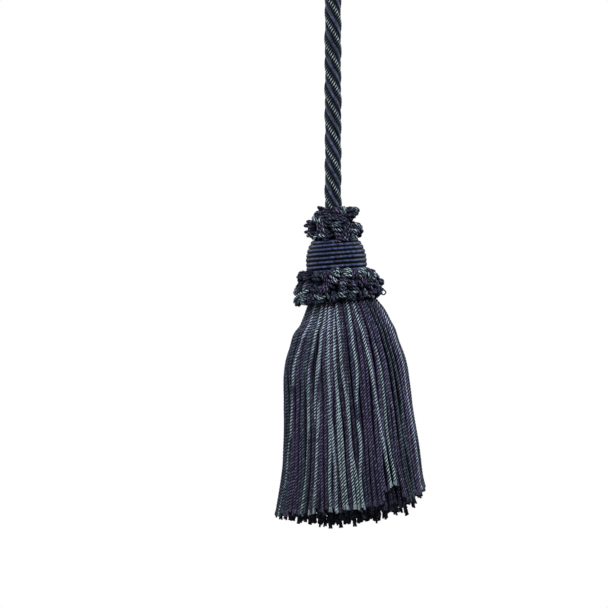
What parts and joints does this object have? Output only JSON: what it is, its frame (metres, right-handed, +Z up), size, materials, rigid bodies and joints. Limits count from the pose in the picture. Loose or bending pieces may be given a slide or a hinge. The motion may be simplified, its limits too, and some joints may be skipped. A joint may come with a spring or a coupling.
{
  "type": "furnishing tassel on a twisted cord",
  "caption": "Hanging tassel: a twisted cord with a bound hanging loop, a tiered looped ruff, a corded dome head, a deep looped collar and a full skirt of twisted yarns",
  "frame": {"origin": "the inside of the hanging loop's crown, where a hook carries it", "axes": "+Z up along the hanging cord, -Y out of the front face, +X to the right seen from the front"},
  "size_m": [0.0531, 0.0538, 0.2592],
  "materials": {
    "laid_cord": "laid viscose cord, navy strands with paler teal ones, soft sheen",
    "binding_thread": "waxed navy thread wound close",
    "looped_yarn": "looped twisted yarn, near-black navy with teal flecks",
    "wound_cord": "glossy viscose cord wound in rows, navy blue",
    "skirt_yarn": "twisted yarns in dark plum navy, slate and teal"
  },
  "bodies": {
    "root": {"hanging_cord": "laid_cord", "hanging_loop": "laid_cord", "loop_binding": "binding_thread", "upper_ruff": "looped_yarn", "wound_head": "wound_cord", "lower_ruff": "looped_yarn", "skirt": "skirt_yarn"}
  },
  "joints": []
}
